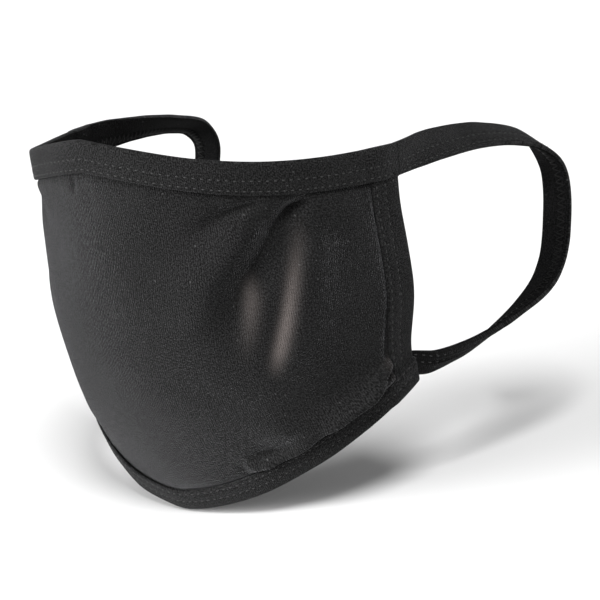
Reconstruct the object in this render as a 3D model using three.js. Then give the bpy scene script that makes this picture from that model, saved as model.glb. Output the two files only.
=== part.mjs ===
// Cloth face mask: a two-ply jersey front, bound all round, with a flat strap loop for each ear.
// Millimetres. +X is the wearer's left, the front faces -Y and +Z is up. The origin is the point midway
// between the middles of the two side edges, on the plane of symmetry.
import * as THREE from 'three';

// ---- driving dimensions ----
const PANEL_WALL = 1.2;       // two plies of jersey
const BINDING_WIDTH = 10.5;   // seen width of the strip that is folded round every edge
const BINDING_WALL = 1.0;     // the strip, folded under once
const STRAP_WIDTH = 11;
const STRAP_WALL = 1.8;       // the same strip, folded flat on itself
const GAP = 0.3;              // room between neighbouring pieces
const SLOT_GAP = 0.5;         // room on each face of the panel inside its folded binding
const FOLD_CHAMFER = 0.8;     // cut off the outside of a binding's fold
const SLOT_CHAMFER = 0.2;     // and off the inside
const STRAP_EDGE = 0.7;       // width of the slope that eases each edge of the strap

// ---- the finished mask, edge to edge ----
// Level sections down the cloth, evenly spaced from the top edge to the bottom edge. front and height
// place a section's middle, sideBack and sideHeight its two ends.
const SECTIONS = [
  { front: -69.5, height: 59.5, halfWidth: 66.5, sideBack: 1.5, sideHeight: 45 },
  { front: -66.5, height: 31, halfWidth: 67.5, sideBack: 0, sideHeight: 26.5 },
  { front: -66.5, height: 1.5, halfWidth: 69.5, sideBack: 0, sideHeight: 0 },
  { front: -60.5, height: -32, halfWidth: 67, sideBack: -1, sideHeight: -20 },
  { front: -43.5, height: -71, halfWidth: 68, sideBack: -1, sideHeight: -33 },
];
const SECTION_ARC = 1.29;     // radians from a section's middle to its end
const TOP_SAG = 5.5;          // the top edge hangs this far between nose and cheek
const BOTTOM_RISE = 3.3;      // the bottom edge arches this far between chin and cheek
const SAG_SKEW = 1.2;         // above 1 moves both of these towards the sides

// Folds in the panel: each runs along a straight line on the cloth. Across goes from 0 in the middle to
// 1 at the side, down from 0 at the top edge to 1 at the bottom edge; width and height are millimetres,
// and a negative height is a valley. Both cheeks have them.
const FOLDS = [
  { acrossFrom: 0.66, downFrom: 0.17, acrossTo: 0.34, downTo: 0.42, width: 8, height: -3.2 },
  { acrossFrom: 0.50, downFrom: 0.12, acrossTo: 0.27, downTo: 0.24, width: 6, height: -1.6 },
  { acrossFrom: 0.66, downFrom: 0.32, acrossTo: 0.54, downTo: 0.64, width: 7, height: 2.4 },
  { acrossFrom: 0.45, downFrom: 0.34, acrossTo: 0.44, downTo: 0.48, width: 6, height: 1.4 },
  { acrossFrom: 0.46, downFrom: 0.84, acrossTo: 0.84, downTo: 0.88, width: 6, height: 2.4 },
];
const CLOTH_ACROSS = 106;     // length of cloth from the middle to the side, for the folds
const CLOTH_DOWN = 118;       // its mean length from top to bottom
const FOLD_FADE = 9;          // the folds die out over this length, next to the bindings

// The left strap's middle line from the top corner to the bottom corner. turn is the angle in degrees
// from facing sideways (0) to facing up and then back (90).
const STRAP_STATIONS = [
  { side: 67.5, back: 23, height: 39.5, turn: 35 },
  { side: 70.5, back: 46, height: 35.5, turn: 62 },
  { side: 74.5, back: 67, height: 29.5, turn: 72 },
  { side: 77, back: 74.5, height: 22, turn: 82 },
  { side: 79, back: 71.5, height: 4, turn: 88 },
  { side: 80, back: 60, height: -13, turn: 80 },
  { side: 74.5, back: 32.5, height: -25.5, turn: 40 },
  { side: 68.5, back: 9, height: -28, turn: 8 },
];
const STRAP_START = 0.9;      // the strap starts this far past the top binding's end
const TUCK_DEPTH = 8;         // its lower end is tucked this far in, behind the side binding
const TUCK_OFFSET = 4.4;      // and lies this far inside the panel's middle surface

// ---- mesh steps ----
const TABLE_STEPS = 60;
const COLUMN_STEPS = 30;
const ROW_STEPS = 18;
const STRAP_STEPS = 40;

const SIDEWAYS = new THREE.Vector3(1, 0, 0);

// A smooth value between the evenly spaced sections, passing through each.
function sectionValue(name, down) {
  const place = down * (SECTIONS.length - 1);
  const index = Math.min(Math.floor(place), SECTIONS.length - 2);
  const value = (i) => SECTIONS[THREE.MathUtils.clamp(i, 0, SECTIONS.length - 1)][name];
  const slope = (i) => {
    const ends = i === 0 || i === SECTIONS.length - 1;
    return (value(i + 1) - value(i - 1)) / (ends ? 1 : 2);
  };
  const t = place - index;
  const rise = t * t * (3 - 2 * t);
  return value(index) * (1 - rise) + value(index + 1) * rise
    + slope(index) * t * (1 - t) ** 2 - slope(index + 1) * t * t * (1 - t);
}

// A point of the mask's smooth form: around goes from 0 in the middle to 1 at the left side edge.
function formPoint(around, down) {
  const depth = (1 - Math.cos(SECTION_ARC * around)) / (1 - Math.cos(SECTION_ARC));
  const breadth = Math.sin(SECTION_ARC * around) / Math.sin(SECTION_ARC);
  const front = sectionValue('front', down);
  const height = sectionValue('height', down);
  const sag = TOP_SAG * (1 - down) ** 2 - BOTTOM_RISE * down ** 2;
  return new THREE.Vector3(
    sectionValue('halfWidth', down) * breadth,
    front + (sectionValue('sideBack', down) - front) * depth,
    height + (sectionValue('sideHeight', down) - height) * depth
      - sag * Math.sin(Math.PI * around ** SAG_SKEW),
  );
}

// A line of points, and the point at a given length along it.
function measured(points) {
  const lengths = [0];
  for (let i = 1; i < points.length; i++) lengths.push(lengths[i - 1] + points[i].distanceTo(points[i - 1]));
  const length = lengths[points.length - 1];
  const at = (place) => {
    let i = 1;
    while (i < points.length - 1 && lengths[i] < place) i++;
    const share = (place - lengths[i - 1]) / (lengths[i] - lengths[i - 1]);
    return points[i - 1].clone().lerp(points[i], share);
  };
  return { length, at };
}

function steps(count, make) {
  return Array.from({ length: count + 1 }, (_, i) => make(i / count));
}

// Places from one edge to the other: the edge, the panel's own edge inside the binding, and then evenly
// from binding to binding. Each gives its length along a line of the given whole length.
const PANEL_EDGE = BINDING_WALL + GAP;
function places(count) {
  const inner = steps(count, (share) => (whole) => BINDING_WIDTH + share * (whole - 2 * BINDING_WIDTH));
  const nearEdge = [() => 0, () => PANEL_EDGE];
  const farEdge = [(whole) => whole - PANEL_EDGE, (whole) => whole];
  return [...nearEdge, ...inner, ...farEdge];
}

// The height of the folds at a place on the cloth.
function foldHeight(across, down, toEdge) {
  const spot = new THREE.Vector2(Math.abs(across) * CLOTH_ACROSS, down * CLOTH_DOWN);
  let height = 0;
  for (const fold of FOLDS) {
    const from = new THREE.Vector2(fold.acrossFrom * CLOTH_ACROSS, fold.downFrom * CLOTH_DOWN);
    const along = new THREE.Vector2(fold.acrossTo * CLOTH_ACROSS, fold.downTo * CLOTH_DOWN).sub(from);
    const offset = spot.clone().sub(from);
    const share = THREE.MathUtils.clamp(offset.dot(along) / along.lengthSq(), 0, 1);
    const distance = offset.addScaledVector(along, -share).length();
    height += fold.height * Math.exp(-((distance / fold.width) ** 2));
  }
  return height * THREE.MathUtils.smoothstep(toEdge, 0, FOLD_FADE);
}

// ---- the cloth's middle surface, as a grid of columns from the right side to the left ----
function makeGrid() {
  const rowLines = steps(TABLE_STEPS, (down) => measured(steps(2 * TABLE_STEPS, (share) => {
    const around = 2 * share - 1;
    const point = formPoint(Math.abs(around), down);
    point.x *= Math.sign(around);
    return point;
  })));
  const grid = places(COLUMN_STEPS).map((placeAcross) => {
    const column = measured(rowLines.map((line) => line.at(placeAcross(line.length))));
    return places(ROW_STEPS).map((placeDown) => column.at(placeDown(column.length)));
  });
  const last = { column: grid.length - 1, row: grid[0].length - 1 };
  const normals = grid.map((column, i) => column.map((_, j) => {
    const acrossFrom = grid[Math.max(i - 1, 0)][j];
    const acrossTo = grid[Math.min(i + 1, last.column)][j];
    const across = acrossTo.clone().sub(acrossFrom);
    const down = column[Math.min(j + 1, last.row)].clone().sub(column[Math.max(j - 1, 0)]);
    return down.cross(across).normalize();
  }));
  const inside = { first: 2, lastColumn: last.column - 2, lastRow: last.row - 2 };
  for (let i = inside.first; i <= inside.lastColumn; i++) {
    for (let j = inside.first; j <= inside.lastRow; j++) {
      const across = 2 * i / last.column - 1;
      const down = j / last.row;
      const toEdge = Math.min(
        grid[i][j].distanceTo(grid[inside.first][j]),
        grid[i][j].distanceTo(grid[inside.lastColumn][j]),
        grid[i][j].distanceTo(grid[i][inside.first]),
        grid[i][j].distanceTo(grid[i][inside.lastRow]),
      );
      grid[i][j].addScaledVector(normals[i][j], foldHeight(across, down, toEdge));
    }
  }
  return { points: grid, normals, last };
}

// A closed wall swept through sections, each with an outer and an inner line of as many points.
function sweptWall(sections) {
  const vertices = [];
  const triangles = [];
  const quad = (a, b, c, d) => triangles.push(a, b, c, a, c, d);
  const rings = sections.map(({ outer, inner }) => {
    const ring = [...outer, ...inner.slice().reverse()];
    const first = vertices.length / 3;
    for (const point of ring) vertices.push(point.x, point.y, point.z);
    return ring.map((_, k) => first + k);
  });
  const count = rings[0].length;
  for (let i = 0; i + 1 < rings.length; i++) {
    for (let k = 0; k < count; k++) {
      const next = (k + 1) % count;
      quad(rings[i][k], rings[i][next], rings[i + 1][next], rings[i + 1][k]);
    }
  }
  const start = rings[0];
  const end = rings[rings.length - 1];
  for (let k = 0; k + 1 < count / 2; k++) {
    quad(start[k], start[count - 1 - k], start[count - 2 - k], start[k + 1]);
    quad(end[k], end[k + 1], end[count - 2 - k], end[count - 1 - k]);
  }
  const geometry = new THREE.BufferGeometry();
  geometry.setAttribute('position', new THREE.Float32BufferAttribute(vertices, 3));
  geometry.setIndex(triangles);
  geometry.computeVertexNormals();
  return geometry;
}

function offset(point, normal, distance) {
  return point.clone().addScaledVector(normal, distance);
}

function panelGeometry({ points, normals, last }) {
  const sections = [];
  for (let i = 1; i < last.column; i++) {
    const column = points[i].slice(1, last.row);
    sections.push({
      outer: column.map((point, k) => offset(point, normals[i][k + 1], PANEL_WALL / 2)),
      inner: column.map((point, k) => offset(point, normals[i][k + 1], -PANEL_WALL / 2)),
    });
  }
  return sweptWall(sections);
}

// The strip folded round an edge, in section: depth from the edge, and offset from the middle surface.
const SLOT = PANEL_WALL / 2 + SLOT_GAP;
const OUTSIDE = SLOT + BINDING_WALL;
const LEAF_END = BINDING_WIDTH - GAP;
const FOLD_OUTER = [
  { depth: LEAF_END, offset: OUTSIDE },
  { depth: FOLD_CHAMFER, offset: OUTSIDE },
  { depth: 0, offset: OUTSIDE / 2 },
  { depth: 0, offset: -OUTSIDE / 2 },
  { depth: FOLD_CHAMFER, offset: -OUTSIDE },
  { depth: LEAF_END, offset: -OUTSIDE },
];
const FOLD_INNER = [
  { depth: LEAF_END, offset: SLOT },
  { depth: BINDING_WALL + SLOT_CHAMFER, offset: SLOT },
  { depth: BINDING_WALL, offset: SLOT - GAP },
  { depth: BINDING_WALL, offset: GAP - SLOT },
  { depth: BINDING_WALL + SLOT_CHAMFER, offset: -SLOT },
  { depth: LEAF_END, offset: -SLOT },
];

// One section of a binding. edge, inset and inner are the cloth's points at the edge, at the panel's own
// edge and at the binding's width, each with its normal.
function bindingSection(edge, inset, inner) {
  const place = (spot) => {
    const near = spot.depth < PANEL_EDGE;
    const from = near ? edge : inset;
    const to = near ? inset : inner;
    const start = near ? 0 : PANEL_EDGE;
    const share = (spot.depth - start) / ((near ? PANEL_EDGE : BINDING_WIDTH) - start);
    const point = from.point.clone().lerp(to.point, share);
    const normal = from.normal.clone().lerp(to.normal, share).normalize();
    return offset(point, normal, spot.offset);
  };
  return { outer: FOLD_OUTER.map(place), inner: FOLD_INNER.map(place) };
}

function bindingGeometry(count, spotAt, reversed) {
  const sections = [];
  for (let i = 0; i < count; i++) {
    sections.push(bindingSection(...[0, 1, 2].map((depth) => spotAt(i, depth))));
  }
  return sweptWall(reversed ? sections.reverse() : sections);
}

function gridSpot({ points, normals }, column, row) {
  return { point: points[column][row], normal: normals[column][row] };
}

// The long bindings run from side edge to side edge, and the side bindings between them.
const topBinding = (cloth) => bindingGeometry(
  cloth.last.column + 1, (i, depth) => gridSpot(cloth, i, depth), true);
const bottomBinding = (cloth) => bindingGeometry(
  cloth.last.column + 1, (i, depth) => gridSpot(cloth, i, cloth.last.row - depth), false);
const leftBinding = (cloth) => bindingGeometry(
  cloth.last.row - 3, (j, depth) => gridSpot(cloth, cloth.last.column - depth, j + 2), true);
const rightBinding = (cloth) => bindingGeometry(
  cloth.last.row - 3, (j, depth) => gridSpot(cloth, depth, j + 2), false);

// ---- the ear loops ----
// The strap's section across its width: a flat bar with eased edges.
const STRAP_FACE = [
  { across: -STRAP_WIDTH / 2, lift: STRAP_WALL / 4 },
  { across: -STRAP_WIDTH / 2 + STRAP_EDGE, lift: STRAP_WALL / 2 },
  { across: STRAP_WIDTH / 2 - STRAP_EDGE, lift: STRAP_WALL / 2 },
  { across: STRAP_WIDTH / 2, lift: STRAP_WALL / 4 },
];

// The left strap's route, with its two ends set by the mask's corners.
function strapRoute({ points, normals, last }) {
  const side = measured(points[last.column]);
  const beside = measured(points[last.column - 2]);
  const half = BINDING_WIDTH / 2;
  const topOut = side.at(half).sub(beside.at(half)).normalize();
  const start = offset(side.at(half), topOut, STRAP_START);
  const bottomEdge = side.at(side.length - half);
  const bottomIn = beside.at(beside.length - half).sub(bottomEdge).normalize();
  const normal = normals[last.column][last.row - 1];
  const tuck = offset(offset(bottomEdge, bottomIn, TUCK_DEPTH), normal, -TUCK_OFFSET);
  const behindEdge = offset(bottomEdge, normal, -TUCK_OFFSET);
  const stations = STRAP_STATIONS.map(({ side: x, back, height }) => new THREE.Vector3(x, back, height));
  const turns = [0, ...STRAP_STATIONS.map((station) => station.turn), 0, 0];
  const curve = new THREE.CatmullRomCurve3([start, ...stations, behindEdge, tuck], false, 'centripetal');
  return { curve, turns };
}

function turnAt(turns, t) {
  const place = t * (turns.length - 1);
  const index = Math.min(Math.floor(place), turns.length - 2);
  const degrees = THREE.MathUtils.lerp(turns[index], turns[index + 1], place - index);
  return THREE.MathUtils.degToRad(degrees);
}

function strapSections({ curve, turns }, mirror) {
  return steps(STRAP_STEPS, (share) => {
    const middle = curve.getPointAt(share);
    const along = curve.getTangentAt(share);
    const sideways = SIDEWAYS.clone().addScaledVector(along, -along.x).normalize();
    const upwards = sideways.clone().cross(along);
    const turn = turnAt(turns, curve.getUtoTmapping(share));
    const face = sideways.multiplyScalar(Math.cos(turn)).addScaledVector(upwards, Math.sin(turn));
    const width = along.clone().cross(face);
    const line = (sign) => STRAP_FACE.map((spot) => {
      const point = middle.clone().addScaledVector(width, spot.across);
      point.addScaledVector(face, sign * spot.lift);
      point.x *= mirror;
      return point;
    });
    return { outer: line(1), inner: line(-1) };
  });
}

function loopGeometry(cloth, mirror) {
  const sections = strapSections(strapRoute(cloth), mirror);
  return sweptWall(mirror > 0 ? sections : sections.reverse());
}

// ---- the assembly ----
function addPiece(group, name, geometry, colour) {
  const material = new THREE.MeshStandardMaterial({ color: colour, roughness: 0.95, metalness: 0 });
  const piece = new THREE.Mesh(geometry, material);
  piece.name = name;
  group.add(piece);
}

const PANEL_COLOUR = 0x39393b;
const BINDING_COLOUR = 0x333335;

const cloth = makeGrid();
const mask = new THREE.Group();
mask.name = 'cloth_face_mask';
addPiece(mask, 'front_panel', panelGeometry(cloth), PANEL_COLOUR);
addPiece(mask, 'top_binding', topBinding(cloth), BINDING_COLOUR);
addPiece(mask, 'bottom_binding', bottomBinding(cloth), BINDING_COLOUR);
addPiece(mask, 'side_binding_left', leftBinding(cloth), BINDING_COLOUR);
addPiece(mask, 'side_binding_right', rightBinding(cloth), BINDING_COLOUR);
addPiece(mask, 'ear_loop_left', loopGeometry(cloth, 1), BINDING_COLOUR);
addPiece(mask, 'ear_loop_right', loopGeometry(cloth, -1), BINDING_COLOUR);

export default mask;
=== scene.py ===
"""A black cloth face mask: a two-ply jersey front, folded bindings and two flat ear loops.

The helpers work in millimetres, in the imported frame: +X is the wearer's left, the front faces -Y and
+Z is up. Meshes are written in metres.
"""
import math

import bmesh
import bpy
import numpy as np
from mathutils import Matrix, Vector


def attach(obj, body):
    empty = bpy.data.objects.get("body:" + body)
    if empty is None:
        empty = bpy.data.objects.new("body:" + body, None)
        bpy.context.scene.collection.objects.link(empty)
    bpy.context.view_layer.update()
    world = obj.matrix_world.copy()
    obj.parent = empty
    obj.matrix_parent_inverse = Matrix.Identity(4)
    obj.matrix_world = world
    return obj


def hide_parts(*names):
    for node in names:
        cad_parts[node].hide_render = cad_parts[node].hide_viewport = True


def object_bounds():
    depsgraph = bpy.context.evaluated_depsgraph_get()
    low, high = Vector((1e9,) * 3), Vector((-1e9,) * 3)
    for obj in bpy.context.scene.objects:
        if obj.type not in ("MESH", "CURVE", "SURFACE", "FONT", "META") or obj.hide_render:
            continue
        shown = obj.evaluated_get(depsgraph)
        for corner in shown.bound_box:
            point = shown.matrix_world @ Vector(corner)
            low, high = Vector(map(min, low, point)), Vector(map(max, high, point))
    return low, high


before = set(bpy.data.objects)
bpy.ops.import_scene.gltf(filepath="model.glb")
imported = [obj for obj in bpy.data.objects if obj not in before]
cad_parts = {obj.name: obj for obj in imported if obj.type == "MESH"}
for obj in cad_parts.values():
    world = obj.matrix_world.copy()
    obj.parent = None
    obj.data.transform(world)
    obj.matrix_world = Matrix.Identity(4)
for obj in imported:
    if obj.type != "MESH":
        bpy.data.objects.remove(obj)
CAD_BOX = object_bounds()
MM = 0.001

# ---- the cloth, edge to edge: these repeat the sections and stations in the CAD source ----
# Five level sections, evenly spaced from the top edge to the bottom edge.
SECTIONS = {
    "front": [-69.5, -66.5, -66.5, -60.5, -43.5],
    "height": [59.5, 31.0, 1.5, -32.0, -71.0],
    "half_width": [66.5, 67.5, 69.5, 67.0, 68.0],
    "side_back": [1.5, 0.0, 0.0, -1.0, -1.0],
    "side_height": [45.0, 26.5, 0.0, -20.0, -33.0],
}
SECTION_ARC = 1.29         # radians that half a section's curve turns through
TOP_SAG, BOTTOM_RISE = 5.5, 3.3    # how far the cheeks dip at the top edge and lift at the bottom one
SAG_SKEW = 1.2             # over 1 moves the dip towards the side edge

# ---- cloth thicknesses and strip sizes ----
PANEL_HALF = 0.6           # half the panel's thickness
PANEL_COLUMNS, PANEL_ROWS = 250, 180
PANEL_UNDER = 2.0          # the panel stops this far short of each edge, inside the bindings
BINDING_FACE = 1.55        # how far a binding's outer face stands from the middle surface
LAP_LIFT = 0.95            # the long bindings rise this much over the side bindings' ends
TOP_WIDTH, BOTTOM_WIDTH, SIDE_WIDTH = 10.5, 8.6, 10.5
SIDE_TAPER = 2.2           # the side bindings lose this much width towards their lower ends
STRAP_WIDTH, STRAP_THICK = 11.0, 2.1
INSIDE = -0.5              # a strip's profile is on its inner face where its offset is below this

# ---- twin-needle stitching ----
STITCH_PITCH, STITCH_LENGTH = 2.5, 1.05
STITCH_RADIUS, LOOPER_RADIUS = 0.21, 0.23
ROW_FROM_FREE_EDGE = (1.3, 4.6)
STRAP_ROWS = (0.65, 3.95)  # from the strap's middle line
BINDING_GROOVE, STRAP_GROOVE = 0.87, 0.80    # the rows lie in grooves this high on the face


# ---------------------------------------------------------------- the mask's form
def section(name, down):
    """A smooth value between the sections, passing through each."""
    values = np.array(SECTIONS[name])
    slopes = np.gradient(values)
    place = np.clip(np.asarray(down, float), 0, 1) * (len(values) - 1)
    i = np.minimum(place.astype(int), len(values) - 2)
    t = place - i
    rise = t * t * (3 - 2 * t)
    return (values[i] * (1 - rise) + values[i + 1] * rise
            + slopes[i] * t * (1 - t) ** 2 - slopes[i + 1] * t * t * (1 - t))


def form(around, down):
    """Points of the smooth form; around is -1 at the right side edge and 1 at the left."""
    a = np.abs(around)
    depth = (1 - np.cos(SECTION_ARC * a)) / (1 - math.cos(SECTION_ARC))
    breadth = np.sin(SECTION_ARC * around) / math.sin(SECTION_ARC)
    front, height = section("front", down), section("height", down)
    sag = TOP_SAG * (1 - down) ** 2 - BOTTOM_RISE * down ** 2
    return np.stack([
        section("half_width", down) * breadth,
        front + (section("side_back", down) - front) * depth,
        height + (section("side_height", down) - height) * depth
        - sag * np.sin(np.pi * np.minimum(a, 1) ** SAG_SKEW),
    ], -1)


def unit(v):
    return v / np.maximum(np.linalg.norm(v, axis=-1, keepdims=True), 1e-12)


def run_lengths(points):
    """Length so far along each line of points (last axis but one)."""
    step = np.linalg.norm(np.diff(points, axis=-2), axis=-1)
    return np.concatenate([np.zeros(step.shape[:-1] + (1,)), np.cumsum(step, -1)], -1)


def bilinear(table, x, y):
    """table[row, column] at x in 0..1 across its columns and y in 0..1 down its rows."""
    rows, columns = table.shape
    px, py = np.clip(x, 0, 1) * (columns - 1), np.clip(y, 0, 1) * (rows - 1)
    i, j = np.minimum(px.astype(int), columns - 2), np.minimum(py.astype(int), rows - 2)
    u, v = px - i, py - j
    top = table[j, i] * (1 - u) + table[j, i + 1] * u
    low = table[j + 1, i] * (1 - u) + table[j + 1, i + 1] * u
    return top * (1 - v) + low * v


class Cloth:
    """The middle surface by shares of the cloth's own length: across -1..1 and down 0..1."""
    STEPS = 160
    NORMAL_STEP = 0.004

    def __init__(self):
        self.shares = shares = np.linspace(0, 1, self.STEPS + 1)
        around, down = np.meshgrid(shares, shares)
        lengths = run_lengths(form(around, down))
        self.half = lengths[:, -1]
        by_share = np.array([np.interp(shares, row / row[-1], shares) for row in lengths])
        columns = form(by_share, down).transpose(1, 0, 2)
        lengths = run_lengths(columns)
        self.column = lengths[:, -1]
        self.down = np.array([np.interp(shares, line / line[-1], shares) for line in lengths]).T
        self.around = by_share

    def half_length(self, down):
        return np.interp(down, self.shares, self.half)

    def column_length(self, across):
        return np.interp(np.abs(across), self.shares, self.column)

    def place(self, across, down):
        """The form's own around and down for shares of the cloth's length."""
        raw_down = bilinear(self.down, np.abs(across), down)
        around = bilinear(self.around, np.abs(across), raw_down) * np.sign(across)
        return around, raw_down

    def spot(self, across, down):
        """Points and outward normals."""
        across, down = np.broadcast_arrays(np.asarray(across, float), np.asarray(down, float))
        around, raw = self.place(across, down)
        step = self.NORMAL_STEP
        lo, hi = np.clip(raw - step, 0, 1), np.clip(raw + step, 0, 1)
        # The step across is centred, so on the middle line the normal faces straight ahead.
        sideways = form(around + step, raw) - form(around - step, raw)
        downwards = form(around, hi) - form(around, lo)
        return form(around, raw), unit(np.cross(downwards, sideways))

    def flat(self, across, down):
        """Millimetres across from the middle and down from the top edge."""
        return across * self.half_length(down), down * self.column_length(across)


CLOTH = Cloth()

# ---------------------------------------------------------------- folds in the panel
# Each fold runs along a curve through three places on the cloth, as (across, down) shares. inner is its
# flank's width towards the middle or the bottom, outer the other's; spread scales both from the curve's
# start to its end; fade gives the shares of its length over which it dies out at each end.
FOLDS = [
    {"at": [(0.675, 0.110), (0.515, 0.275), (0.345, 0.54)], "height": -5.4, "inner": 4.6, "outer": 5.8,
     "spread": (0.40, 1.35), "fade": (0.02, 0.45)},
    {"at": [(0.560, 0.190), (0.385, 0.300), (0.235, 0.50)], "height": 3.4, "inner": 8.5, "outer": 4.6,
     "spread": (0.60, 1.30), "fade": (0.30, 0.45)},
    {"at": [(0.530, 0.110), (0.40, 0.165), (0.27, 0.25)], "height": -2.6, "inner": 3.0, "outer": 4.2,
     "spread": (0.40, 1.25), "fade": (0.02, 0.60)},
    {"at": [(0.600, 0.115), (0.55, 0.150), (0.49, 0.19)], "height": -0.7, "inner": 3.0, "outer": 2.2,
     "spread": (0.50, 1.20), "fade": (0.02, 0.70)},
    {"at": [(0.690, 0.190), (0.635, 0.40), (0.545, 0.69)], "height": 2.9, "inner": 4.2, "outer": 9.0,
     "spread": (0.80, 1.05), "fade": (0.25, 0.22)},
    {"at": [(0.480, 0.330), (0.475, 0.45), (0.420, 0.64)], "height": 1.7, "inner": 3.8, "outer": 5.0,
     "spread": (1.00, 1.10), "fade": (0.30, 0.45)},
    {"at": [(0.380, 0.850), (0.62, 0.868), (0.90, 0.865)], "height": 2.6, "inner": 4.6, "outer": 7.0,
     "spread": (1.00, 0.80), "fade": (0.35, 0.12)},
    {"at": [(0.480, 0.790), (0.68, 0.800), (0.88, 0.815)], "height": -1.3, "inner": 3.6, "outer": 4.5,
     "spread": (1.10, 0.80), "fade": (0.40, 0.20)},
    {"at": [(0.320, 0.884), (0.50, 0.887), (0.68, 0.905)], "height": -2.2, "inner": 1.4, "outer": 2.4,
     "spread": (0.80, 1.10), "fade": (0.35, 0.20)},
    {"at": [(0.740, 0.850), (0.83, 0.840), (0.90, 0.825)], "height": 1.7, "inner": 2.4, "outer": 3.4,
     "spread": (1.30, 0.90), "fade": (0.50, 0.01)},
    {"at": [(0.840, 0.905), (0.88, 0.890), (0.92, 0.880)], "height": -2.0, "inner": 1.5, "outer": 1.5,
     "spread": (1.20, 0.80), "fade": (0.50, 0.01)},
    {"at": [(0.290, 0.870), (0.315, 0.90), (0.335, 0.935)], "height": -1.1, "inner": 1.7, "outer": 2.2,
     "spread": (1.00, 1.20), "fade": (0.60, 0.01)},
    {"at": [(0.350, 0.885), (0.375, 0.91), (0.395, 0.935)], "height": -1.2, "inner": 1.6, "outer": 2.4,
     "spread": (1.00, 1.20), "fade": (0.50, 0.01)},
]
# Painted highlights on the left cheek, along curves like the folds'. width is in millimetres.
# The first two, brownish, lie on the lit flanks of two ridges; the last two sit on the pucker tips by the
# side seam.
PAINTED_HIGHLIGHTS = [
    {"at": [(0.660, 0.160), (0.588, 0.400), (0.500, 0.660)], "width": 2.1, "strength": 1.0,
     "fade": (0.75, 0.20)},
    {"at": [(0.475, 0.310), (0.462, 0.430), (0.415, 0.600)], "width": 2.7, "strength": 0.50,
     "fade": (0.45, 0.75)},
    {"at": [(0.855, 0.848), (0.890, 0.842), (0.930, 0.836)], "width": 1.5, "strength": 0.42,
     "fade": (0.90, 0.10)},
    {"at": [(0.870, 0.905), (0.900, 0.898), (0.935, 0.893)], "width": 1.5, "strength": 0.42,
     "fade": (0.90, 0.10)},
]
NOSE_DART = {"at": [(-0.058, 0.075), (-0.063, 0.105), (-0.072, 0.14)], "height": -0.9, "inner": 1.3,
             "outer": 1.0, "spread": (1.2, 0.8), "fade": (0.02, 0.6)}
# The height and length of the cloth's slow waves, and of the puckers along the seams.
SLACK_HEIGHT, SLACK_LENGTH = 0.30, 46
PUCKER_HEIGHT, PUCKER_LENGTH = 0.16, 9
PUCKER_REACH, PUCKER_UNDER = 4.0, 3        # into the panel from a seam, and under its binding
SEAM_CREASE, CREASE_WIDTH = 0.7, 0.9
SEAM_CALM = 6.0            # folds grow to full height over this distance from a seam
CURVE_STEPS = 40
RIGHT_CHEEK = 0.3          # the right cheek's folds are this much of the left's


def curve_points(places):
    """A quadratic curve through three places on the cloth, in flat millimetres."""
    t = np.linspace(0, 1, CURVE_STEPS + 1)[:, None]
    a, b, c = (np.array(p) for p in places)
    shares = a * (1 - t) * (1 - 2 * t) + b * 4 * t * (1 - t) + c * t * (2 * t - 1)
    return np.stack(CLOTH.flat(shares[:, 0], shares[:, 1]), -1)


def beside_curve(x, y, places):
    """Distance to the curve, positive on its outer side, and the share of its length nearest by."""
    line = curve_points(places)
    tangent = unit(np.gradient(line, axis=0))
    near = np.full(x.shape, np.inf)
    signed, share = np.zeros(x.shape), np.zeros(x.shape)
    for k, (point, along) in enumerate(zip(line, tangent)):
        dx, dy = x - point[0], y - point[1]
        distance = np.hypot(dx, dy)
        closer = distance < near
        near = np.where(closer, distance, near)
        signed = np.where(closer, dx * along[1] - dy * along[0], signed)
        share = np.where(closer, k / CURVE_STEPS, share)
    return np.sign(signed) * near, share


def smooth(x):
    x = np.clip(x, 0, 1)
    return x * x * (3 - 2 * x)


def fold_height(x, y, fold):
    signed, share = beside_curve(x, y, fold["at"])
    spread = fold["spread"][0] + (fold["spread"][1] - fold["spread"][0]) * share
    width = np.where(signed > 0, fold["outer"], fold["inner"]) * spread
    fade = smooth(share / fold["fade"][0]) * smooth((1 - share) / fold["fade"][1])
    return fold["height"] * fade * np.exp(-(signed / width) ** 2)


def waves(x, y, seed, size, count=14):
    """A smooth random field of about unit height, from a few seeded waves of about the given length."""
    rng = np.random.default_rng(seed)
    total = np.zeros(np.broadcast(x, y).shape)
    for _ in range(count):
        angle, phase = rng.uniform(0, np.pi), rng.uniform(0, 2 * np.pi)
        k = 2 * np.pi / (size * rng.uniform(0.7, 1.6))
        total += np.sin(k * (x * math.cos(angle) + y * math.sin(angle)) + phase)
    return total / math.sqrt(count / 2)


def relief(across, down):
    """How far the panel stands off the smooth form, in millimetres."""
    x, y = CLOTH.flat(across, down)
    height = np.zeros(x.shape)
    for fold in FOLDS:
        height += np.where(x > 0, 1.0, RIGHT_CHEEK) * fold_height(np.abs(x), y, fold)
    height += fold_height(x, y, NOSE_DART)
    from_top = y - TOP_WIDTH
    from_bottom = CLOTH.column_length(across) - y - BOTTOM_WIDTH
    from_side = CLOTH.half_length(down) - np.abs(x) - SIDE_WIDTH
    inside = np.minimum(np.minimum(from_top, from_bottom), from_side)
    height += SLACK_HEIGHT * waves(x, y, 3, SLACK_LENGTH)
    for gap, along, seed in ((from_top, x, 5), (from_bottom, x, 7), (from_side, y, 9)):
        pull = np.exp(-np.clip(gap, 0, None) / PUCKER_REACH) * (gap > -PUCKER_UNDER)
        height += PUCKER_HEIGHT * pull * waves(along, 0 * along, seed, PUCKER_LENGTH, 6)
    crease = SEAM_CREASE * np.exp(-(inside / CREASE_WIDTH) ** 2)
    return height * smooth((inside + 1.2) / SEAM_CALM) - crease


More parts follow.
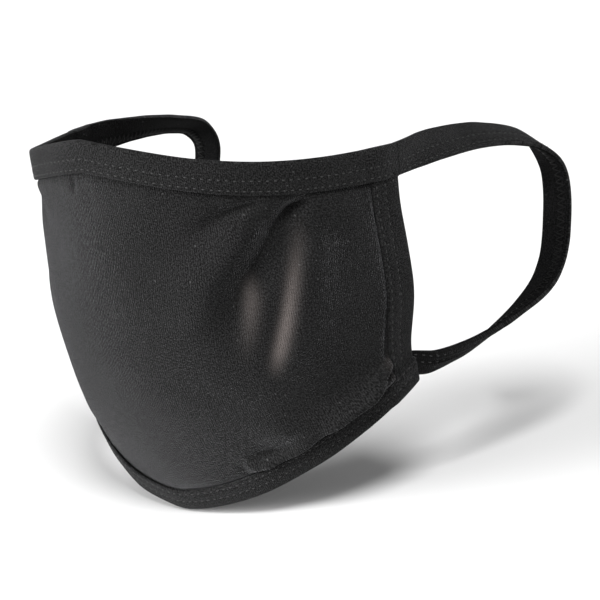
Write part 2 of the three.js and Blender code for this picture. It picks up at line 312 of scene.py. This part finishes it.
# Lips of slack cloth that hang over a seam. The bottom one is placed by its span of across shares, and
# the side ones by their place down the cloth. lift is off the form, hang over the seam and reach back
# from it, all in millimetres.
BOTTOM_LIP = {"lift": 3.3, "hang": 1.5, "unevenness": 0.16, "from": 0.27, "full": 0.44, "until": 0.78,
              "to": 0.93, "off_seam": 3.2, "width": 2.0}
SIDE_LIPS = [
    {"down": 0.836, "half_height": 1.5, "lift": 2.6, "hang": 1.3, "reach": 9.0},
    {"down": 0.893, "half_height": 1.6, "lift": 2.8, "hang": 1.7, "reach": 8.0},
]


def lips(across, down):
    """Lift off the form, slide down and slide sideways, in millimetres, on the left cheek."""
    x, y = CLOTH.flat(across, down)
    from_bottom = CLOTH.column_length(across) - y - BOTTOM_WIDTH
    from_side = CLOTH.half_length(down) - np.abs(x) - SIDE_WIDTH
    lip = BOTTOM_LIP
    span = (smooth((across - lip["from"]) / (lip["full"] - lip["from"]))
            * smooth((lip["to"] - across) / (lip["to"] - lip["until"])))
    near = span * np.exp(-((from_bottom - lip["off_seam"]) / lip["width"]) ** 2)
    near = near * (1 + lip["unevenness"] * waves(x, 0 * x, 41, 17, 5))
    lift, slide_down = lip["lift"] * near, lip["hang"] * near
    slide_side = np.zeros(x.shape)
    for side_lip in SIDE_LIPS:
        level = side_lip["down"] * CLOTH.column_length(across)
        reach = side_lip["reach"]
        along = smooth((reach - from_side) / (reach - 1.5)) * smooth((from_side + 1.8) / 2.2)
        bump = np.exp(-((y - level) / side_lip["half_height"]) ** 2) * along * (across > 0)
        lift += side_lip["lift"] * bump
        slide_side += side_lip["hang"] * bump
    return lift, slide_down, slide_side


# ---------------------------------------------------------------- meshes
def new_piece(name, points, faces, material, cloth=None, painted_light=None, marked=None, second=None):
    """A piece on the root body. Faces whose points are all marked have the second material."""
    mesh = bpy.data.meshes.new(name)
    mesh.from_pydata((np.asarray(points) * MM).tolist(), [], faces)
    mesh.validate()
    if cloth is not None:
        layer = mesh.attributes.new("cloth_mm", "FLOAT_VECTOR", "POINT")
        layer.data.foreach_set("vector", np.asarray(cloth, np.float32).ravel())
    if painted_light is not None:
        layer = mesh.attributes.new("painted_light", "FLOAT", "POINT")
        layer.data.foreach_set("value", np.asarray(painted_light, np.float32).ravel())
    mesh.polygons.foreach_set("use_smooth", [len(polygon.vertices) == 4 for polygon in mesh.polygons])
    mesh.materials.append(material)
    if second is not None:
        marked = np.asarray(marked).ravel()
        mesh.materials.append(second)
        index = [int(all(marked[v] for v in polygon.vertices)) for polygon in mesh.polygons]
        mesh.polygons.foreach_set("material_index", index)
    piece = bpy.data.objects.new(name, mesh)
    bpy.context.scene.collection.objects.link(piece)
    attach(piece, "root")
    return piece


def grid_faces(rows, columns, first=0, flip=False):
    """Quads of a grid whose points are numbered along its columns first."""
    i, j = np.meshgrid(np.arange(rows - 1), np.arange(columns - 1), indexing="ij")
    a = first + i * columns + j
    quads = np.stack([a, a + 1, a + columns + 1, a + columns], -1).reshape(-1, 4)
    return (quads[:, ::-1] if flip else quads).tolist()


def ring_faces(stations, count):
    """Quads round closed rings, and a polygon over each end."""
    i, j = np.meshgrid(np.arange(stations - 1), np.arange(count), indexing="ij")
    a, b = i * count + j, i * count + (j + 1) % count
    quads = np.stack([a, b, b + count, a + count], -1).reshape(-1, 4).tolist()
    return quads + [list(range(count))[::-1], list(range((stations - 1) * count, stations * count))]


def outward(piece):
    """Turns the faces outwards."""
    work = bmesh.new()
    work.from_mesh(piece.data)
    bmesh.ops.recalc_face_normals(work, faces=work.faces)
    work.to_mesh(piece.data)
    work.free()
    return piece


def make_panel(material, shaded_reverse):
    """The two plies as one closed shell, with its folds, puckers and lips."""
    columns, rows, under = PANEL_COLUMNS, PANEL_ROWS, PANEL_UNDER
    across, down = np.meshgrid(np.linspace(-1, 1, columns), np.linspace(0, 1, rows), indexing="ij")
    # The cloth goes on under the bindings, almost to the edges.
    half, column = CLOTH.half_length(down), CLOTH.column_length(across)
    across = across * (1 - under / half)
    down = under / column + down * (1 - 2 * under / column)
    points, normals = CLOTH.spot(across, down)
    lift, slide_down, slide_side = lips(across, down)
    below, _ = CLOTH.spot(across, np.minimum(down + 0.01, 1))
    beside, _ = CLOTH.spot(np.minimum(across + 0.01, 1), down)
    slide = unit(below - points) * slide_down[..., None] + unit(beside - points) * slide_side[..., None]
    points = points + normals * (relief(across, down) + lift)[..., None] + slide
    along, below = np.gradient(points, axis=0), np.gradient(points, axis=1)
    normals = unit(np.cross(below, along))
    outer, inner = points + normals * PANEL_HALF, points - normals * PANEL_HALF
    x, y = CLOTH.flat(across, down)
    cloth = np.stack([x + slide_side, y + slide_down, 0 * x], -1).reshape(-1, 3)
    # Painted highlights along the marks on the left cheek.
    painted_light = np.zeros(x.shape)
    for mark in PAINTED_HIGHLIGHTS:
        signed, share = beside_curve(x, y, mark["at"])
        fade = smooth(share / mark["fade"][0]) * smooth((1 - share) / mark["fade"][1])
        painted_light += mark["strength"] * fade * np.exp(-(signed / mark["width"]) ** 2)
    faces = grid_faces(columns, rows, flip=True) + grid_faces(columns, rows, first=columns * rows)
    number = np.arange(columns * rows).reshape(columns, rows)
    rim = np.concatenate([number[:, 0], number[-1, 1:], number[-2::-1, -1], number[0, -2:0:-1]])
    after, shift = np.roll(rim, -1), columns * rows
    faces += np.stack([rim, after, after + shift, rim + shift], -1).tolist()
    both = np.concatenate([outer.reshape(-1, 3), inner.reshape(-1, 3)])
    piece = new_piece("front_panel_jersey", both, faces, material,
                      np.tile(cloth, (2, 1)), np.tile(painted_light.ravel(), 2),
                      np.repeat([False, True], painted_light.size), shaded_reverse)
    return outward(piece)


# ---------------------------------------------------------------- bindings
def fold_profile(width):
    """The folded strip in section, as (depth from the edge, offset) pairs.

    The offset is from the middle surface, in shares of the strip's face height.
    """
    face, slot, wall = 1.0, 0.42, 0.75
    groove = face * BINDING_GROOVE
    rows = [width - row for row in ROW_FROM_FREE_EDGE]
    leaf = [(width, slot), (width + 0.05, 0.72), (width - 0.35, face * 0.96), (rows[0] + 0.75, face),
            (rows[0], groove), (rows[0] - 0.8, face), ((rows[0] + rows[1]) / 2, face * 1.03),
            (rows[1] + 0.8, face), (rows[1], groove), (rows[1] - 0.8, face), (2.2, face),
            (1.0, face * 0.95), (0.35, face * 0.74), (0.05, face * 0.38), (0.0, 0.0)]
    other = [(depth, -offset) for depth, offset in leaf[-2::-1]]
    slot_side = [(width - 0.2, -slot), (1.2, -slot), (wall, -slot * 0.6), (wall, slot * 0.6),
                 (1.2, slot), (width - 0.2, slot)]
    return np.array(leaf + other + slot_side)


def binding_spots(kind, station, depth):
    """Points and normals at a depth from the edge; station runs along the strip from 0 to 1."""
    if kind in ("top", "bottom"):
        across = 2 * station - 1
        down = depth / CLOTH.column_length(across)
        return CLOTH.spot(across, down if kind == "top" else 1 - down)
    down = np.broadcast_to(station, np.broadcast(station, depth).shape)
    across = 1 - depth / CLOTH.half_length(down)
    return CLOTH.spot(across if kind == "left" else -across, down)


STRIPS = {
    "top": {"width": TOP_WIDTH, "from": 0.0, "to": 1.0, "stations": 260},
    "bottom": {"width": BOTTOM_WIDTH, "from": 0.0, "to": 1.0, "stations": 230},
    "left": {"width": SIDE_WIDTH, "from": 0.085, "to": 0.93, "stations": 110},
    "right": {"width": SIDE_WIDTH, "from": 0.085, "to": 0.93, "stations": 110},
}


def strip_stations(kind, count):
    """Evenly spaced stations along the strip, with their lengths from its start."""
    strip = STRIPS[kind]
    raw = np.linspace(strip["from"], strip["to"], 400)
    points, _ = binding_spots(kind, raw, np.full(400, strip["width"] / 2))
    length = run_lengths(points)
    even = np.linspace(0, length[-1], count)
    return np.interp(even, length, raw), even


def strip_width(kind, station):
    """The side bindings narrow towards their lower ends."""
    width = STRIPS[kind]["width"]
    taper = SIDE_TAPER if kind in ("left", "right") else 0
    return width - taper * smooth((station - 0.55) / 0.4)


def face_height(kind, station, length, depth):
    """How far the strip's face stands off the middle surface."""
    uneven = 0.10 * waves(length, depth, 21, 17, 8)
    if kind not in ("top", "bottom"):
        return BINDING_FACE + uneven
    to_end = (1 - np.abs(2 * station - 1)) * CLOTH.half_length(0.0 if kind == "top" else 1.0)
    over_side = smooth((SIDE_WIDTH + 2.5 - to_end) / 3.5)
    if kind == "top":
        # The strap goes on from the end, so the face is even and down at its own height there.
        uneven = uneven * smooth(to_end / 9)
        over_side = over_side * smooth(to_end / 7)
    return BINDING_FACE + uneven + LAP_LIFT * over_side


def make_binding(kind, name, node, material, shaded_reverse):
    strip = STRIPS[kind]
    stations, lengths = strip_stations(kind, strip["stations"])
    profile = fold_profile(strip["width"])
    station = stations[:, None]
    depth = profile[None, :, 0] * strip_width(kind, station) / strip["width"]
    length = np.broadcast_to(lengths[:, None], depth.shape)
    points, normals = binding_spots(kind, np.broadcast_to(station, depth.shape), depth)
    lift = profile[None, :, 1] * face_height(kind, station, length, depth)
    rings = points + normals * lift[..., None]
    cloth = np.stack([length, depth, np.zeros(depth.shape)], -1).reshape(-1, 3)
    inside = np.broadcast_to(profile[None, :, 1] < INSIDE, lift.shape)
    piece = new_piece(name, rings.reshape(-1, 3), ring_faces(*depth.shape), material, cloth,
                      marked=inside, second=shaded_reverse)
    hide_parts(node)
    return outward(piece)


# ---------------------------------------------------------------- stitches
def thread_runs(name, starts, ends, lifts, is_looper, thread, looper):
    """Short runs of thread: each goes from start to end and bows outwards along lift."""
    sides = 6
    turn = np.arange(sides) * 2 * np.pi / sides
    t = np.array([0.0, 0.12, 0.5, 0.88, 1.0])
    girth = np.array([0.35, 0.85, 1.0, 0.85, 0.35])
    bow = np.array([-0.9, 0.0, 0.45, 0.0, -0.9])
    radius = np.where(is_looper, LOOPER_RADIUS, STITCH_RADIUS)[:, None]
    run = ends - starts
    beside = unit(np.cross(unit(run), lifts))
    middle = starts[:, None] + run[:, None] * t[:, None] + lifts[:, None] * (radius * bow)[..., None]
    spoke = np.cos(turn)[:, None] * beside[:, None, None] + np.sin(turn)[:, None] * lifts[:, None, None]
    rings = middle[:, :, None] + spoke * (radius * girth)[:, :, None, None]
    size = len(t) * sides
    one = ring_faces(len(t), sides)
    faces = [[v + k * size for v in face] for k in range(len(starts)) for face in one]
    piece = new_piece(name, rings.reshape(-1, 3), faces, thread,
                      marked=np.repeat(is_looper, size), second=looper)
    return outward(piece)


def twin_seam(name, spots, margins, length, rows, threads, mirror=1):
    """Two rows of stitches on the outer face, and the looper's zigzag between them on the inner face.

    spots(places, row, face) gives points along a row and the way out of that face, which is 1 for the
    outer face and -1 for the inner one. margins are the lengths without stitches at the two ends.
    """
    count = int((length - sum(margins)) / STITCH_PITCH)
    centres = margins[0] + (np.arange(count) + 0.5) * STITCH_PITCH
    half = STITCH_LENGTH / 2
    runs = [(row, centres - half, row, centres + half, 1) for row in rows]
    for near, far, shift in ((rows[0], rows[1], 0.0), (rows[1], rows[0], 0.5)):
        begin = centres + shift * STITCH_PITCH
        runs.append((near, begin, far, begin + STITCH_PITCH / 2, -1))
    starts, ends, lifts, is_looper = [], [], [], []
    for row, begin, next_row, end, face in runs:
        start, lift = spots(begin, row, face)
        starts.append(start)
        ends.append(spots(end, next_row, face)[0])
        lifts.append(lift)
        is_looper.append(np.full(count, face < 0))
    starts, ends, lifts, is_looper = (np.concatenate(x) for x in (starts, ends, lifts, is_looper))
    for vectors in (starts, ends, lifts):
        vectors[:, 0] *= mirror
    return thread_runs(name, starts, ends, lifts, is_looper, *threads)


def strip_stitches(kind, name, threads):
    width = STRIPS[kind]["width"]
    raw, even = strip_stations(kind, 400)

    def spots(places, row, face):
        station = np.interp(places, even, raw)
        depth = (width - row) * strip_width(kind, station) / width
        points, normals = binding_spots(kind, station, depth)
        height = face_height(kind, station, places, depth) * (BINDING_GROOVE if face > 0 else 1.0) + 0.02
        return points + face * normals * height[:, None], face * normals

    margin = 4.0 if kind in ("left", "right") else 1.5
    return twin_seam(name, spots, (margin, margin), even[-1], ROW_FROM_FREE_EDGE, threads)


# ---------------------------------------------------------------- ear loops
# The left strap's middle line. turn is its face's angle in degrees, from sideways at 0 to square to that
# at 90. The right strap mirrors it, and hangs lower by drop.
STRAP_STATIONS = [
    {"side": 67.5, "back": 23.0, "height": 39.7, "turn": 33, "drop": 1.6},
    {"side": 70.5, "back": 46.0, "height": 37.5, "turn": 54, "drop": 3.0},
    {"side": 74.5, "back": 65.5, "height": 31.0, "turn": 66, "drop": 2.4},
    {"side": 77.0, "back": 73.5, "height": 20.5, "turn": 82, "drop": 0.8},
    {"side": 79.2, "back": 70.7, "height": 4.0, "turn": 88, "drop": 0.0},
    {"side": 80.5, "back": 59.5, "height": -13.6, "turn": 80, "drop": 0.0},
    {"side": 74.5, "back": 32.5, "height": -26.2, "turn": 56, "drop": 0.0},
    {"side": 68.5, "back": 9.0, "height": -29.4, "turn": 26, "drop": 0.0},
]
TUCK_DEPTH, TUCK_OFFSET = 8.0, 4.2    # how far in behind the panel its lower end goes, and how far off
START_GAP = 0.02           # between the top binding's end and the strap's
# The strap is gathered towards its lower end: from the first length before the end, fully by the second.
GATHER_FROM, GATHER_BY = 62, 20
GATHER_SHARE = 0.27        # of its width that the strap loses there
GATHER_RIDGES = 0.38
GATHER_SHADE = 1.4
STRAP_STEPS = 260
EASE_FACE, EASE_THICKNESS, EASE_WIDTH = 16, 14, 20    # over these lengths the binding turns into strap


def smooth_line(points, values, count):
    """A smooth curve through the points, evenly spaced, with the values as a fourth column."""
    knots = np.concatenate([[0], np.cumsum(np.sqrt(np.linalg.norm(np.diff(points, axis=0), axis=1)))])
    data = np.column_stack([points, values])
    slope = np.gradient(data, knots, axis=0)
    fine = np.linspace(0, knots[-1], 2000)
    i = np.clip(np.searchsorted(knots, fine, side="right") - 1, 0, len(knots) - 2)
    gap = (knots[i + 1] - knots[i])[:, None]
    t = (fine - knots[i])[:, None] / gap
    rise = t * t * (3 - 2 * t)
    line = (data[i] * (1 - rise) + data[i + 1] * rise
            + gap * (slope[i] * t * (1 - t) ** 2 - slope[i + 1] * t * t * (1 - t)))
    length = run_lengths(line[:, :3])
    even = np.linspace(0, length[-1], count)
    return np.stack([np.interp(even, length, line[:, k]) for k in range(line.shape[1])], -1), even


def strap_line(side):
    """Middle points, faces, widths and lengths along one strap, as if it were on the left."""
    middle = TOP_WIDTH / 2
    column = CLOTH.column_length(1.0)
    edge_and_inside = np.array([1.0, 0.97])
    (top, beside), top_normals = CLOTH.spot(edge_and_inside, np.full(2, middle / column))
    start = top + unit(top - beside) * START_GAP
    low_share = 1 - middle / column
    (edge, inside), low_normals = CLOTH.spot(edge_and_inside, np.full(2, low_share))
    behind = edge - low_normals[0] * TUCK_OFFSET
    tuck = behind + unit(inside - edge) * TUCK_DEPTH
    drop = 1 if side < 0 else 0
    stations = [(s["side"], s["back"], s["height"] - drop * s["drop"]) for s in STRAP_STATIONS]
    turns = [0] + [s["turn"] for s in STRAP_STATIONS] + [0, 0]
    line, length = smooth_line(np.array([start, *stations, behind, tuck]), np.array(turns), STRAP_STEPS)
    points = line[:, :3]
    along = unit(np.gradient(points, axis=0))
    sideways = unit(np.array([1.0, 0, 0]) - along * along[:, :1])
    upwards = np.cross(sideways, along)
    turn = np.radians(line[:, 3:4])
    turned = sideways * np.cos(turn) + upwards * np.sin(turn)
    # The strap leaves the top binding lying the way the binding does.
    own = smooth(length / EASE_FACE)[:, None]
    face = unit(turned * own + top_normals[0] * (1 - own))
    (above, below), _ = CLOTH.spot(np.ones(2), np.array([0.0, TOP_WIDTH]) / column)
    width = unit(np.cross(along, face) * own + unit(below - above) * (1 - own))
    return points, face, width, length


def strap_profile():
    """The flat strap in section, as (across, lift) pairs in shares of half the width and thickness."""
    places = [-1.0, -0.985, -0.93, -0.80, -0.45, -0.12]
    lifts = [0.0, 0.55, 0.92, 1.0, 1.02, 1.0]
    for row in STRAP_ROWS:
        middle = row / (STRAP_WIDTH / 2)
        places += [middle - 0.12, middle, middle + 0.12]
        lifts += [1.0, STRAP_GROOVE, 1.0]
    places += [0.93, 0.985]
    lifts += [0.92, 0.55]
    outer = sorted(zip(places, lifts))
    inner = [(place, -lift) for place, lift in outer[:0:-1]]
    return np.array(outer + [(1.0, 0.0)] + inner)


def strap_thickness(length):
    """Half the strap's thickness: it is a binding's at its top end and eases to the strap's own."""
    own = STRAP_THICK / 2
    return own + (BINDING_FACE - own) * (1 - smooth(length / EASE_THICKNESS))


def gather(length, whole):
    """How far the strap is gathered at a length along it, from 0 to 1."""
    return smooth((length - whole + GATHER_FROM) / (GATHER_FROM - GATHER_BY))


def make_strap(side, name, node, material, shaded_reverse):
    points, face, width, length = strap_line(side)
    profile = strap_profile()
    gathered = gather(length, length[-1])[:, None]
    breadth = STRAP_WIDTH + (TOP_WIDTH - STRAP_WIDTH) * (1 - smooth(length / EASE_WIDTH))[:, None]
    breadth = breadth * (1 - GATHER_SHARE * gathered)
    across = profile[None, :, 0] * breadth / 2
    lift = profile[None, :, 1] * strap_thickness(length)[:, None]
    # Lengthwise ridges where the strap is gathered, and a faint unevenness all along, off its edges.
    ridges = np.cos(across * 2.6 + 0.8 * np.sin(length[:, None] / 9))
    uneven = 0.07 * waves(length[:, None], across, 31, 13, 8) * smooth(length / 9)[:, None]
    lift = lift + (GATHER_RIDGES * gathered * ridges + uneven) * (np.abs(profile[None, :, 0]) < 0.97)
    rings = points[:, None] + width[:, None] * across[..., None] + face[:, None] * lift[..., None]
    rings[..., 0] *= side
    along = np.broadcast_to(length[:, None], lift.shape)
    cloth = np.stack([along, np.broadcast_to(across, lift.shape), 0 * along], -1).reshape(-1, 3)
    inside = np.broadcast_to(profile[None, :, 1] < INSIDE, lift.shape)
    # The gathered end lies in its own folds' shade, painted into its colour here.
    shade = np.broadcast_to(GATHER_SHADE * gathered, lift.shape)
    piece = new_piece(name, rings.reshape(-1, 3), ring_faces(*lift.shape), material, cloth,
                      painted_light=shade, marked=inside, second=shaded_reverse)
    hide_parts(node)
    return outward(piece)


def strap_stitches(side, name, threads):
    points, face, width, length = strap_line(side)

    def along(values, places):
        return np.stack([np.interp(places, length, values[:, k]) for k in range(3)], -1)

    def spots(places, row, out):
        lift = unit(along(face, places))
        height = strap_thickness(places) * (STRAP_GROOVE if out > 0 else 1.0) + 0.03
        offset = row * (1 - GATHER_SHARE * gather(places, length[-1]))
        points_on = along(points, places) + unit(along(width, places)) * offset[:, None]
        return points_on + out * lift * height[:, None], out * lift

    return twin_seam(name, spots, (2, 4), length[-1], STRAP_ROWS, threads, mirror=side)


# ---------------------------------------------------------------- materials
# The painted highlights' brownish colour, and the shaded colour that paints shade on the straps' gathered
# ends.
JERSEY_COLOUR, HIGHLIGHT_COLOUR = (0.0078, 0.0078, 0.0079, 1), (0.175, 0.150, 0.141, 1)
BINDING_COLOUR, SHADED_COLOUR = (0.0092, 0.0092, 0.0093, 1), (0.002, 0.002, 0.002, 1)
# The reverse's darker colour is painted shade on the inner faces.
REVERSE_SHADED_COLOUR = (0.0040, 0.0040, 0.0041, 1)
LINT_COLOUR, SHEEN_TINT = (0.11, 0.11, 0.11, 1), (0.75, 0.75, 0.78, 1)


class Nodes:
    """A material's node tree, built by short calls."""

    def __init__(self, name):
        self.material = bpy.data.materials.new(name)
        self.material.use_nodes = True
        self.tree = self.material.node_tree
        self.shader = self.tree.nodes["Principled BSDF"]

    def node(self, kind, inputs=None, **settings):
        node = self.tree.nodes.new(kind)
        for key, value in settings.items():
            setattr(node, key, value)
        for key, value in (inputs or {}).items():
            if isinstance(value, bpy.types.NodeSocket):
                self.tree.links.new(value, node.inputs[key])
            else:
                node.inputs[key].default_value = value
        return node

    def math(self, operation, a, b=0.0):
        return self.node("ShaderNodeMath", {0: a, 1: b}, operation=operation).outputs[0]

    def ramp(self, value, low, high, to_low=0.0, to_high=1.0):
        inputs = {"Value": value, "From Min": low, "From Max": high, "To Min": to_low, "To Max": to_high}
        return self.node("ShaderNodeMapRange", inputs, interpolation_type="SMOOTHSTEP").outputs[0]

    def noise(self, place, scale, **settings):
        inputs = {"Scale": scale, **settings}
        if place is not None:
            inputs["Vector"] = place
        return self.node("ShaderNodeTexNoise", inputs).outputs["Fac"]

    def grey(self, tone):
        return self.node("ShaderNodeCombineColor", {0: tone, 1: tone, 2: tone}).outputs[0]

    def mix(self, share, first, second, blend="MIX"):
        """Two colours mixed: the colour sockets of this node are 6 and 7, and its colour output is 2."""
        return self.node("ShaderNodeMix", {0: share, 6: first, 7: second}, data_type="RGBA",
                         blend_type=blend).outputs[2]

    def feed(self, **values):
        """Links values to the shader's sockets, or puts constants directly on them."""
        for key, value in values.items():
            socket = self.shader.inputs[key.replace("_", " ")]
            if isinstance(value, bpy.types.NodeSocket):
                self.tree.links.new(value, socket)
            else:
                socket.default_value = value


def knit_height(m, place, wale, course):
    """The knit's own relief: ribs one wale apart, with a stitch every course along them."""
    parts = m.node("ShaderNodeSeparateXYZ", {0: place})
    x, y = parts.outputs[0], parts.outputs[1]
    wobble = m.noise(place, 0.35, Detail=2.0)
    shifted = m.math("ADD", x, m.math("MULTIPLY", wobble, 0.9))
    rib = m.math("ABSOLUTE", m.math("SINE", m.math("MULTIPLY", shifted, math.pi / wale)))
    slant = m.math("MULTIPLY", rib, 1.4)
    loop = m.math("SINE", m.math("ADD", m.math("MULTIPLY", y, 2 * math.pi / course), slant))
    return m.math("ADD", rib, m.math("MULTIPLY", loop, 0.30))


def lint_specks(m, place):
    """Small flecks in some of the cells of a pattern."""
    cells = m.node("ShaderNodeTexVoronoi", {"Vector": place, "Scale": 0.42})
    speck = m.ramp(cells.outputs["Distance"], 0.07, 0.15, 1.0, 0.0)
    chance = m.node("ShaderNodeSeparateColor", {0: cells.outputs["Color"]}).outputs[0]
    return m.math("MULTIPLY", speck, m.ramp(chance, 0.60, 0.95))


def knit_material(name, colour, wale, course, sheen, specular, painted_light_colour=None):
    """Brushed jersey: a fine knit, uneven dye, surface fuzz and a few flecks of lint.

    wale and course are in millimetres. The last argument is a colour laid on by a mesh attribute, as
    painted highlights and shade.
    """
    m = Nodes(name)
    place = m.node("ShaderNodeAttribute", attribute_name="cloth_mm").outputs["Vector"]
    knit = knit_height(m, place, wale, course)
    fuzz = m.noise(place, 1.9, Detail=2.0, Roughness=0.6)
    cloud = m.noise(place, 0.06, Detail=3.0)
    tone = m.math("ADD", m.ramp(fuzz, 0.38, 0.66, 0.08, 2.9), m.ramp(cloud, 0.35, 0.65, -0.10, 0.12))
    tone = m.math("MULTIPLY", tone, m.ramp(knit, -0.2, 1.2, 0.90, 1.05))
    dyed = m.mix(1.0, colour, m.grey(tone), "MULTIPLY")
    # Painted highlights on the panel and painted shade on the straps' gathered ends.
    if painted_light_colour:
        painted_light = m.node("ShaderNodeAttribute", attribute_name="painted_light").outputs["Fac"]
        dyed = m.mix(m.math("MULTIPLY", painted_light, 0.55), dyed, painted_light_colour)
    dyed = m.mix(m.math("MULTIPLY", lint_specks(m, place), 0.5), dyed, LINT_COLOUR)
    height = m.math("ADD", m.math("MULTIPLY", knit, 0.26), m.math("MULTIPLY", fuzz, 1.0))
    bump = m.node("ShaderNodeBump", {"Height": height, "Strength": 1.0, "Distance": 0.0006})
    m.feed(Base_Color=dyed, Roughness=m.ramp(fuzz, 0.3, 0.7, 0.86, 0.98), Normal=bump.outputs[0],
           Specular_IOR_Level=specular, Sheen_Weight=sheen, Sheen_Roughness=0.25, Sheen_Tint=SHEEN_TINT)
    return m.material


def thread_material(name, dark, light, specular):
    m = Nodes(name)
    place = m.node("ShaderNodeTexCoord").outputs["Object"]
    strand = m.ramp(m.noise(place, 2400.0, Detail=2.0), 0.3, 0.7)
    roughness = m.ramp(strand, 0.0, 1.0, 0.5, 0.7)
    colour = m.mix(strand, (dark, dark, dark, 1), (light, light, light, 1))
    m.feed(Base_Color=colour, Roughness=roughness, Specular_IOR_Level=specular)
    return m.material


# ---------------------------------------------------------------- stage, camera and light
CAMERA_AZIMUTH, CAMERA_ELEVATION, CAMERA_ROLL = 40.3, 15.75, -6.5
CAMERA_DISTANCE, CAMERA_LENS = 799.5, 143.2
CAMERA_TARGET = np.array([16.7, 6.5, -12.7])
# The white room is bright where the camera sees it and dim as a light.
PAPER_STRENGTH, ROOM_STRENGTH = 1.0, 0.25
FLOOR_GAP, FLOOR_REACH = 0.0002, 6.0       # metres


def camera_axes():
    """The camera's right, up and backward directions."""
    a, e, r = (math.radians(x) for x in (CAMERA_AZIMUTH, CAMERA_ELEVATION, CAMERA_ROLL))
    back = np.array([math.sin(a) * math.cos(e), -math.cos(a) * math.cos(e), math.sin(e)])
    level = np.array([math.cos(a), math.sin(a), 0.0])
    right = level * math.cos(r) + np.cross(back, level) * math.sin(r)
    return right, np.cross(back, right), back


def make_camera():
    right, up, back = camera_axes()
    data = bpy.data.cameras.new("camera")
    data.sensor_width = 36.0
    data.lens = CAMERA_LENS
    camera = bpy.data.objects.new("camera", data)
    place = Matrix(np.column_stack([right, up, back]).tolist()).to_4x4()
    place.translation = Vector((CAMERA_TARGET + back * CAMERA_DISTANCE) * MM)
    camera.matrix_world = place
    bpy.context.scene.collection.objects.link(camera)
    bpy.context.scene.camera = camera


def soft_sun(name, towards, strength, spread):
    """A distant soft light; towards points from the mask to the light."""
    data = bpy.data.lights.new(name, "SUN")
    data.energy, data.angle = strength, math.radians(spread)
    light = bpy.data.objects.new(name, data)
    light.rotation_mode = "QUATERNION"
    light.rotation_quaternion = Vector(towards).to_track_quat("Z", "Y")
    bpy.context.scene.collection.objects.link(light)


def make_lights():
    soft_sun("overhead", (0.46, -0.42, 1.0), 2.9, 22)
    soft_sun("key_from_left", (-0.56, -0.83, 0.19), 6.5, 40)
    world = bpy.data.worlds.new("studio")
    world.use_nodes = True
    tree = world.node_tree
    room = tree.nodes["Background"]
    room.inputs["Strength"].default_value = ROOM_STRENGTH
    paper = tree.nodes.new("ShaderNodeBackground")
    paper.inputs["Strength"].default_value = PAPER_STRENGTH
    seen = tree.nodes.new("ShaderNodeLightPath")
    mixed = tree.nodes.new("ShaderNodeMixShader")
    for back in (room, paper):
        back.inputs["Color"].default_value = (1, 1, 1, 1)
    tree.links.new(seen.outputs["Is Camera Ray"], mixed.inputs[0])
    tree.links.new(room.outputs[0], mixed.inputs[1])
    tree.links.new(paper.outputs[0], mixed.inputs[2])
    tree.links.new(mixed.outputs[0], tree.nodes["World Output"].inputs["Surface"])
    bpy.context.scene.world = world


def make_floor():
    """A plain floor just under the mask's lowest point."""
    level = CAD_BOX[0][2] - FLOOR_GAP
    mesh = bpy.data.meshes.new("floor")
    corners = [(x * FLOOR_REACH, y * FLOOR_REACH, level) for x, y in ((-1, -1), (1, -1), (1, 1), (-1, 1))]
    mesh.from_pydata(corners, [], [(0, 1, 2, 3)])
    m = Nodes("floor_paint")
    m.feed(Base_Color=m.grey(m.ramp(m.noise(None, 30.0), 0.3, 0.7, 0.79, 0.81)), Roughness=0.9)
    mesh.materials.append(m.material)
    floor = bpy.data.objects.new("floor", mesh)
    bpy.context.scene.collection.objects.link(floor)


def main():
    make_camera()
    make_lights()
    make_floor()
    bpy.context.scene.view_settings.view_transform = "Standard"
    jersey = knit_material("jersey", JERSEY_COLOUR, wale=0.70, course=0.52, sheen=0.27, specular=0.17,
                           painted_light_colour=HIGHLIGHT_COLOUR)
    strip = knit_material("binding_jersey", BINDING_COLOUR, wale=0.66, course=0.50, sheen=0.09,
                          specular=0.15, painted_light_colour=SHADED_COLOUR)
    # The knit's reverse, for the inner faces, darker as painted shade.
    shaded_reverse = knit_material("jersey_reverse_painted_shade", REVERSE_SHADED_COLOUR, wale=0.62, course=0.62, sheen=0.01,
                            specular=0.04)
    threads = (thread_material("polyester_thread", 0.010, 0.029, specular=0.5),
               thread_material("looper_thread", 0.002, 0.008, specular=0.12))
    panel = make_panel(jersey, shaded_reverse)
    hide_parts("front_panel")
    for kind, node in (("top", "top_binding"), ("bottom", "bottom_binding"),
                       ("left", "side_binding_left"), ("right", "side_binding_right")):
        make_binding(kind, f"{node}_strip", node, strip, shaded_reverse)
        strip_stitches(kind, f"{node}_stitches", threads)
    for side, word in ((1, "left"), (-1, "right")):
        make_strap(side, f"ear_loop_{word}_strap", f"ear_loop_{word}", strip, shaded_reverse)
        strap_stitches(side, f"ear_loop_{word}_stitches", threads)


main()
